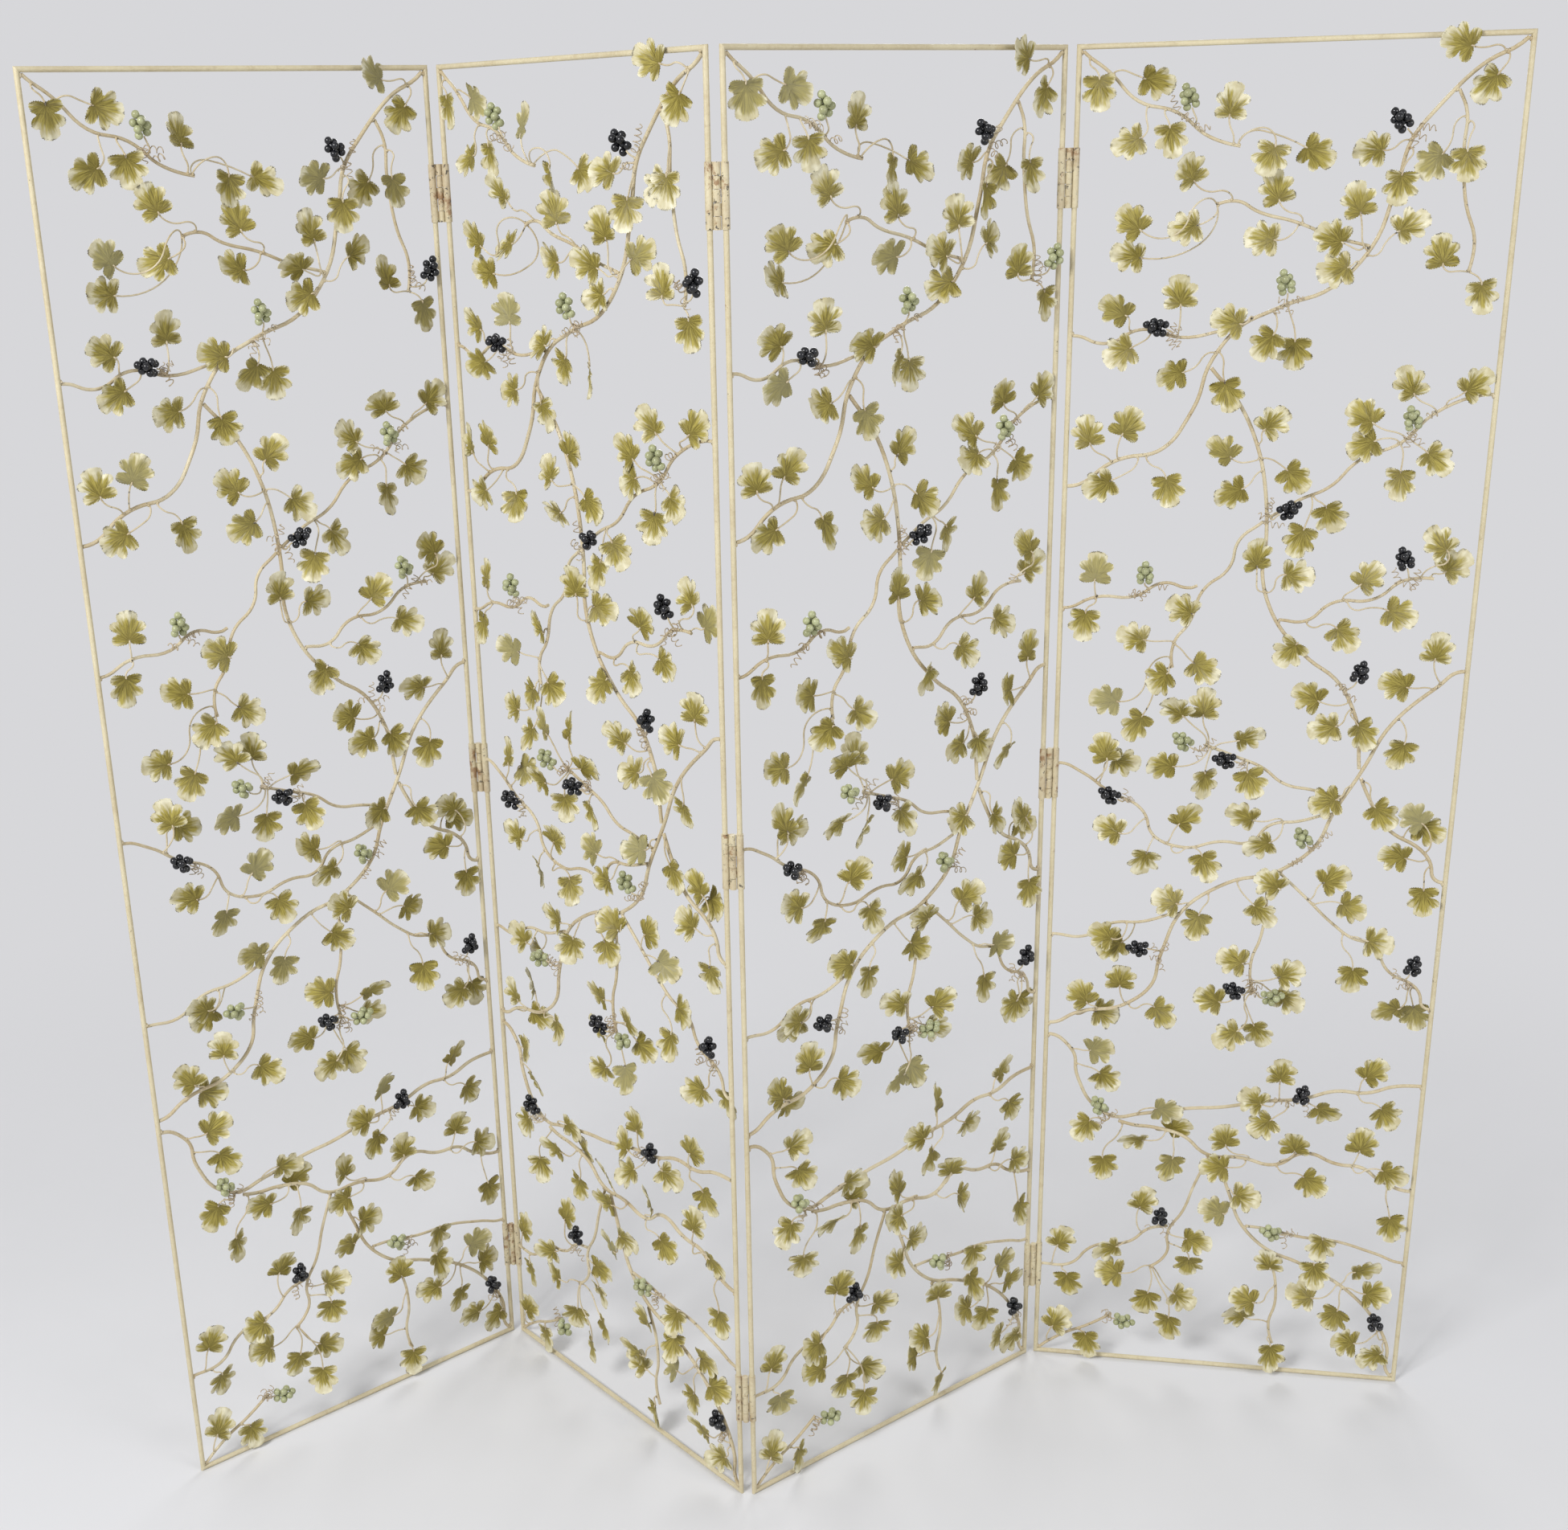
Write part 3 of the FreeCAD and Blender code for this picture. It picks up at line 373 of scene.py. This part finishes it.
def leaf_form(right_cut, left_cut):
    """One leaf: points, faces and the values that its paint uses."""
    left = [(-x, y, h) for x, y, h in reversed(leaf_side(left_cut)[1:])]
    rim = np.array(leaf_side(right_cut) + [OUTLINE[-1]] + left)
    rim_x, rim_y = rim[:, 0] * MM, rim[:, 1] * MM
    count = len(rim)
    points, reach, spoke, edge = [(0.0, MESH_HEART, 0.0)], [0.25], [0.0], [0.0]
    for ring in LEAF_RINGS:
        for n in range(count):
            x, y = rim_x[n] * ring, MESH_HEART + (rim_y[n] - MESH_HEART) * ring
            angle = math.atan2(x, y - VEIN_START)
            folds = math.sin(7 * angle + right_cut) + 0.7 * math.sin(13 * angle + left_cut)
            ease = min(1.0, math.hypot(x, y - VEIN_START) / VEIN_EASE)
            crease = LEAF_CREASE * folds * ring * ease
            points.append((x, y, rim[n, 2] * LEAF_PLEAT * ring**1.6 + crease))
            reach.append(math.hypot(x, y) / LEAF_REACH)
            spoke.append(angle)
            edge.append(ring)
    faces = [(0, 1 + n, 1 + (n + 1) % count) for n in range(count)]
    for ring in range(len(LEAF_RINGS) - 1):
        a, b = 1 + ring * count, 1 + (ring + 1) * count
        faces += [(a + n, b + n, b + (n + 1) % count, a + (n + 1) % count) for n in range(count)]
    top = len(points)
    points = points + [(x, y, z - LEAF_SHEET) for x, y, z in points]
    outer = 1 + (len(LEAF_RINGS) - 1) * count
    skin = [(outer + n, top + outer + n, top + outer + (n + 1) % count, outer + (n + 1) % count)
            for n in range(count)]
    faces = [face[::-1] for face in faces] + [tuple(top + i for i in face) for face in faces] + skin
    values = {"reach": np.array(reach * 2), "spoke": np.array(spoke * 2), "rim": np.array(edge * 2)}
    return np.array(points), faces, values


def leaf_frames(node):
    """Each leaf's stalk end and its own axes, read from the solid's heart, crown and tip."""
    found = []
    for places in islands(node):
        apart = np.linalg.norm(places[:, None] - places[None], axis=2) + np.eye(len(places))
        a, b = np.unravel_index(np.argmin(apart), apart.shape)
        front = unit(places[b] - places[a])
        heart = places[a]
        if (places.mean(axis=0) - heart) @ front < 0:
            front, heart = -front, places[b]
        tip = places[np.argmax(np.linalg.norm(places - heart, axis=1))]
        along = tip - heart
        along = unit(along - front * (along @ front))
        found.append((heart - along * LEAF_HEART, np.cross(along, front), along, front))
    return found


def fold_spare(blade, stile, span, sideways, front):
    """The least room between a blade and the middle of either fold when that is closed."""
    inside = (blade - stile) @ sideways
    from_pin = np.minimum(inside, span - inside) + PIN_REACH
    room = PIN_PROUD + from_pin * math.tan(math.radians(CLOSED_DEGREES / 2))
    return (room - abs((blade - stile) @ front)).min()


def turned_blade(base, across, along, front, points, roll, pitch):
    """A leaf's points in place, turned about its stalk's end."""
    wing = across * math.cos(roll) + front * math.sin(roll)
    spine = along * math.cos(pitch) + np.cross(wing, along) * math.sin(pitch)
    return base + points @ np.array((wing, spine, np.cross(wing, spine)))


leaf_kinds = [leaf_form(*cuts) for cuts in CUTS]
leaf_bases = {}
for panel in PANELS:
    rng = np.random.default_rng(LEAF_SEED + panel)
    places, faces = [], []
    values = {"reach": [], "spoke": [], "rim": [], "tone": [], "seed": []}
    leaf_bases[panel] = leaf_frames(f"panel_{panel}_leaves")
    solids = surface(*(f"panel_{panel}_{kind}" for kind in NEAR_LEAVES))
    axes = panel_axes(panel)
    for leaf_frame in leaf_bases[panel]:
        form, form_faces, form_values = leaf_kinds[rng.integers(len(leaf_kinds))]
        wide, long = rng.uniform(BLADE_LEAST, BLADE_MOST)
        flat = form * (wide, long, 1.0)
        x, y = flat[:, 0], flat[:, 1] - LEAF_HEART
        least = min(FOLD_SPARE, fold_spare(turned_blade(*leaf_frame, flat, 0.0, 0.0), *axes))
        for ease in TURN_TRIES:
            roll, pitch, cup, twist, droop = ease * rng.uniform(-TURN_RANGE, TURN_RANGE)
            bend = LEAF_BEND * np.tanh((cup * x**2 + twist * x * y + droop * y**2) / LEAF_BEND)
            points = flat + np.outer(bend, (0.0, 0.0, 1.0))
            blade = turned_blade(*leaf_frame, points, roll, pitch)
            clear = all(solids.find_nearest(Vector(p), LEAF_CLEARANCE)[0] is None for p in blade[::2])
            if clear and fold_spare(blade, *axes) >= least:
                break
        start = len(places)
        places += list(np.clip(blade, *np.array(cad_box)))
        faces += [tuple(start + i for i in face) for face in form_faces]
        for key, numbers in form_values.items():
            values[key].append(numbers)
        values["tone"].append(np.full(len(form), rng.uniform()))
        values["seed"].append(np.full(len(form), rng.uniform(0, SEED_SPREAD)))
    values = {key: np.concatenate(parts) for key, parts in values.items()}
    blades = add_piece(f"panel_{panel}_leaf_blades", places, faces, "leaf_paint", f"panel_{panel}", values)
    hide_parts(f"panel_{panel}_leaves")


# Weld knots where wires meet

# Each knot's radius and half length, and how near the wires have to come
STALK_KNOT, STALK_NEAR = (2.1 * MM, 1.7 * MM), 1.2 * MM
SIDE_KNOT, SIDE_NEAR = (2.9 * MM, 2.0 * MM), 1.0 * MM
STILE_KNOT, STILE_NEAR = (3.2 * MM, 2.2 * MM), 2.0 * MM
COLLAR, COLLAR_RISE = (1.3 * MM, 3.0 * MM), 1.0 * MM


def knot(place, axis, radius, length, lumps=0.14, sides=8, rings=5):
    """A small lumpy bead along an axis."""
    axis = Vector(axis).normalized()
    turned = axis.to_track_quat("Z", "Y").to_matrix()
    points = [np.array(Vector(place) + axis * length)]
    for ring in range(1, rings):
        polar = math.pi * ring / rings
        for n in range(sides):
            angle = 2 * math.pi * n / sides
            lump = 1 + lumps * math.sin(3 * angle + 40 * place[0]) * math.sin(2 * polar + 30 * place[2])
            local = Vector((math.sin(polar) * math.cos(angle) * radius * lump,
                            math.sin(polar) * math.sin(angle) * radius * lump,
                            math.cos(polar) * length))
            points.append(np.array(Vector(place) + turned @ local))
    points.append(np.array(Vector(place) - axis * length))
    last = len(points) - 1
    faces = []
    for n in range(sides):
        m = (n + 1) % sides
        faces.append((0, 1 + n, 1 + m))
        for ring in range(rings - 2):
            a, b = 1 + ring * sides, 1 + (ring + 1) * sides
            faces.append((a + n, b + n, b + m, a + m))
        faces.append((last - sides + n, last, last - sides + m))
    return points, faces


def gather(parts):
    """Points and faces of many small forms as one mesh."""
    places, faces = [], []
    for points, part_faces in parts:
        start = len(places)
        places += points
        faces += [tuple(start + i for i in face) for face in part_faces]
    return places, faces


def touch(solid, tree, reach):
    """Where a solid comes nearest to a surface, if within reach."""
    best = None
    for p in solid:
        hit = tree.find_nearest(Vector(p), reach)
        if hit[0] is not None and (best is None or hit[3] < best[1]):
            best = (np.array(hit[0]), hit[3], np.array(hit[1]))
    return best


def knots_between(solids, tree, near, size):
    """A knot wherever one of the solids comes near to a surface."""
    met = (touch(solid, tree, near) for solid in solids)
    return [knot(found[0], found[2], *size) for found in met if found]


for panel in PANELS:
    body = f"panel_{panel}"
    mains = surface(f"{body}_main_vines")
    vines = surface(f"{body}_main_vines", f"{body}_side_vines")
    frame_rods = ("left_stile", "right_stile", "top_rail", "bottom_rail")
    rods = surface(*(f"{body}_{rod}" for rod in frame_rods))
    main_vines, side_vines = islands(f"{body}_main_vines"), islands(f"{body}_side_vines")
    knots = knots_between(islands(f"{body}_stalks"), vines, STALK_NEAR, STALK_KNOT)
    knots += knots_between(side_vines, mains, SIDE_NEAR, SIDE_KNOT)
    knots += knots_between(main_vines + side_vines, rods, STILE_NEAR, STILE_KNOT)
    for base, across, along, front in leaf_bases[panel]:
        knots.append(knot(base + along * COLLAR_RISE, along, *COLLAR))
    add_piece(f"{body}_weld_knots", *gather(knots), "stalk_paint", body, paint="knot_paint")


# Inner balls of the bunches, and wire curls beside them

BALL_REACH = 12 * MM
BALL_RADIUS = 4.8 * MM
BALL_OVERLAP = 0.8 * MM
BALL_SIDES = 16
BALL_RINGS = 10
CURL_WIRE = 0.6 * MM
CURL_COIL = 4.6 * MM
CURL_SIDES = 6
CURL_STEPS = 14
CURLS_PER_BUNCH = 3
CURL_CLEARANCE = 0.7 * MM
CURL_TRIES = 40
CURL_TAPER = 0.35
CURL_SEED = 70
# The range of a curl's start behind and beside the bunch in millimetres, heading in radians, turns and
# pitch in millimetres
CURL_LEAST, CURL_MOST = (8, -18, -2.8, 1.6, 6.0), (24, 18, 2.8, 3.2, 9.0)


def bunches(node):
    """The ball centres of each bunch of a node."""
    centres = np.array([ball.mean(axis=0) for ball in islands(node)])
    left = set(range(len(centres)))
    groups = []
    while left:
        group = [left.pop()]
        for member in group:
            near = [n for n in left if np.linalg.norm(centres[n] - centres[member]) < BALL_REACH]
            group += near
            left -= set(near)
        groups.append(centres[group])
    return groups


def inner_balls(balls):
    """More balls in the widest gaps inside a bunch."""
    gaps = []
    for a, b in itertools.combinations(balls, 2):
        middle = (a + b) / 2
        gaps.append((np.linalg.norm(balls - middle, axis=1).min(), tuple(middle)))
    found = []
    for room, middle in sorted(gaps, reverse=True):
        radius = min(BALL_RADIUS, room - BALL_RADIUS + BALL_OVERLAP)
        apart = [math.dist(middle, place) for place, _ in found]
        if radius > BALL_RADIUS / 2 and min(apart, default=1.0) > 2 * BALL_RADIUS - BALL_OVERLAP:
            found.append((middle, radius))
    return [knot(place, (0, 0, 1), radius, radius, 0.0, BALL_SIDES, BALL_RINGS) for place, radius in found]


def curl_path(start, axis, front, turns, pitch):
    """Points of a coil that leaves start along axis and tightens towards its end."""
    side = np.cross(front, axis)
    points = []
    for n in range(int(turns * CURL_STEPS) + 1):
        turned = n / CURL_STEPS
        angle = 2 * math.pi * turned
        coil = CURL_COIL * (1 - CURL_TAPER * turned / turns)
        out = front * (CURL_COIL - coil * math.cos(angle)) + side * coil * math.sin(angle)
        points.append(start + axis * pitch * turned + out)
    return np.array(points)


def wire_along(points, axis, radius):
    """A round wire along points, closed at both ends."""
    tangents = np.gradient(points, axis=0)
    places, faces = [], []
    for point, tangent in zip(points, tangents):
        tangent = unit(tangent)
        first = unit(axis - tangent * (axis @ tangent))
        second = np.cross(tangent, first)
        for n in range(CURL_SIDES):
            angle = 2 * math.pi * n / CURL_SIDES
            places.append(point + (first * math.cos(angle) + second * math.sin(angle)) * radius)
    for ring in range(len(points) - 1):
        a, b = ring * CURL_SIDES, (ring + 1) * CURL_SIDES
        for n in range(CURL_SIDES):
            m = (n + 1) % CURL_SIDES
            faces.append((a + n, a + m, b + m, b + n))
    last = len(places) - CURL_SIDES
    faces.append(tuple(range(CURL_SIDES))[::-1])
    faces.append(tuple(range(last, last + CURL_SIDES)))
    return places, faces


def bunch_curls(balls, axes, vines, taken, rng):
    """Wire curls that start on the vine behind a bunch and keep clear of what is there."""
    front = axes[3]
    middle = balls.mean(axis=0)
    tip = balls[np.argmax(np.linalg.norm(balls - middle, axis=1))]
    along = tip - middle
    along = unit(along - front * (along @ front))
    aside = np.cross(front, along)
    curls = []
    for _ in range(CURL_TRIES):
        back, wide, heading, turns, pitch = rng.uniform(CURL_LEAST, CURL_MOST)
        near = Vector(middle - along * back * MM + aside * wide * MM)
        start = np.array(vines.find_nearest(near)[0])
        axis = along * math.cos(heading) + aside * math.sin(heading)
        path = curl_path(start + front * CURL_WIRE, axis, front, turns, pitch * MM)
        clear = min(taken.find_nearest(Vector(p))[3] for p in path) > CURL_CLEARANCE
        if clear and fold_spare(path, *axes) > CURL_CLEARANCE:
            curls.append(wire_along(path, axis, CURL_WIRE))
        if len(curls) == CURLS_PER_BUNCH:
            break
    return curls


for panel in PANELS:
    rng = np.random.default_rng(CURL_SEED + panel)
    body = f"panel_{panel}"
    axes = panel_axes(panel)
    vines = surface(f"{body}_main_vines", f"{body}_side_vines")
    taken = surface(*(f"{body}_{kind}" for kind in ("leaves", "green_grapes", "black_grapes", "tendrils")))
    curls = []
    for colour in ("green", "black"):
        inside = []
        for balls in bunches(f"{body}_{colour}_grapes"):
            inside += inner_balls(balls)
            curls += bunch_curls(balls, axes, vines, taken, rng)
        if inside:
            add_piece(f"{body}_{colour}_inner_balls", *gather(inside), f"{colour}_enamel", body)
    add_piece(f"{body}_curls", *gather(curls), "tendril_paint", body)


# Stage, light and camera

PHOTO_WIDTH, PHOTO_HEIGHT = 1951, 1904
FOCAL_PIXELS = 2437.3
CENTRE_PIXEL = (883.05, 1015.05)
CAMERA_PLACE = (-0.0234, -2.2000, 1.7467)
CAMERA_PITCH, CAMERA_YAW, CAMERA_ROLL = 19.333, -0.073, -1.585
SENSOR = 36.0

camera_data = bpy.data.cameras.new("camera")
camera_data.sensor_width = SENSOR
camera_data.lens = FOCAL_PIXELS * SENSOR / PHOTO_WIDTH
camera_data.shift_x = (PHOTO_WIDTH / 2 - CENTRE_PIXEL[0]) / PHOTO_WIDTH
camera_data.shift_y = (CENTRE_PIXEL[1] - PHOTO_HEIGHT / 2) / PHOTO_WIDTH
camera = bpy.data.objects.new("camera", camera_data)
bpy.context.scene.collection.objects.link(camera)
bpy.context.scene.camera = camera
pitch, yaw, roll = (math.radians(a) for a in (CAMERA_PITCH, CAMERA_YAW, CAMERA_ROLL))
forward = Vector((math.sin(yaw) * math.cos(pitch), math.cos(yaw) * math.cos(pitch), -math.sin(pitch)))
right = Vector((math.cos(yaw), -math.sin(yaw), 0))
up = right.cross(forward)
tilted_right = right * math.cos(roll) + up * math.sin(roll)
tilted_up = up * math.cos(roll) - right * math.sin(roll)
basis = Matrix((tilted_right, tilted_up, -forward)).transposed()
camera.matrix_world = Matrix.Translation(CAMERA_PLACE) @ basis.to_4x4()

BACKDROP = (0.68, 0.68, 0.70)
FLOOR_GREY = (0.67, 0.67, 0.685)
# Where the floor starts and ends to fade, in metres from the middle
FLOOR_FADE = (0.9, 2.6)
FLOOR_GRAIN = 1.05
SKY, SKY_STRENGTH = (0.97, 0.98, 1.0), 0.46


def background_rays(tree):
    """1 for the rays that show the background: from the camera, in gloss and through glass."""
    path = tree.nodes.new("ShaderNodeLightPath")
    shown = path.outputs["Is Camera Ray"]
    for name in ("Is Glossy Ray", "Is Transmission Ray"):
        either = tree.nodes.new("ShaderNodeMath")
        either.operation = "MAXIMUM"
        tree.links.new(shown, either.inputs[0])
        tree.links.new(path.outputs[name], either.inputs[1])
        shown = either.outputs[0]
    return shown


def floor_material():
    """Pale paper that fades into the backdrop's tone away from the object."""
    n = Nodes("pale_paper")
    away = n.add("ShaderNodeVectorMath", operation="LENGTH")
    n.feed(away.inputs[0], n.place)
    fade = n.steps(away.outputs["Value"], *FLOOR_FADE)
    glow = n.add("ShaderNodeEmission")
    glow.inputs["Color"].default_value = (*BACKDROP, 1)
    blend = n.add("ShaderNodeMixShader")
    n.feed(blend.inputs[0], n.math("MULTIPLY", fade, background_rays(n.tree)))
    n.feed(blend.inputs[1], n.shader.outputs[0])
    n.feed(blend.inputs[2], glow.outputs[0])
    n.tree.links.new(blend.outputs[0], n.tree.nodes["Material Output"].inputs["Surface"])
    grain = n.mix(n.noise(scale=3, detail=3), FLOOR_GREY, tuple(c * FLOOR_GRAIN for c in FLOOR_GREY))
    return n.finish(grain, 0.8)


FLOOR_RADIUS = 14.0
FLOOR_SIDES = 64
floor_angles = [2 * math.pi * n / FLOOR_SIDES for n in range(FLOOR_SIDES)]
floor_rim = [(FLOOR_RADIUS * math.cos(a), FLOOR_RADIUS * math.sin(a), 0) for a in floor_angles]
floor_mesh = bpy.data.meshes.new("floor")
floor_mesh.from_pydata(floor_rim, [], [tuple(range(FLOOR_SIDES))])
floor_mesh.materials.append(floor_material())
floor = bpy.data.objects.new("floor", floor_mesh)
bpy.context.scene.collection.objects.link(floor)

world = bpy.data.worlds.new("studio")
bpy.context.scene.world = world
world.use_nodes = True
tree = world.node_tree
light = tree.nodes["Background"]
light.inputs["Color"].default_value = (*SKY, 1)
light.inputs["Strength"].default_value = SKY_STRENGTH
shown = tree.nodes.new("ShaderNodeBackground")
shown.inputs["Color"].default_value = (*BACKDROP, 1)
choice = tree.nodes.new("ShaderNodeMixShader")
tree.links.new(background_rays(tree), choice.inputs[0])
tree.links.new(light.outputs[0], choice.inputs[1])
tree.links.new(shown.outputs[0], choice.inputs[2])
tree.links.new(choice.outputs[0], tree.nodes["World Output"].inputs["Surface"])


def softbox(name, place, target, width, power):
    """A square lamp that faces its target, with sizes in metres and power in watts."""
    data = bpy.data.lights.new(name, "AREA")
    data.shape = "SQUARE"
    data.size = width
    data.energy = power
    lamp = bpy.data.objects.new(name, data)
    lamp.location = place
    lamp.rotation_euler = (Vector(target) - Vector(place)).to_track_quat("-Z", "Y").to_euler()
    bpy.context.scene.collection.objects.link(lamp)


softbox("key", (-2.6, -3.0, 3.4), (0, 0.2, 0.9), 1.4, 175)
softbox("fill", (3.0, -2.4, 2.2), (0, 0.2, 0.8), 1.6, 48)
softbox("back", (0.6, 3.6, 2.6), (0, 0.2, 0.9), 1.6, 42)

bpy.context.scene.view_settings.view_transform = "Standard"
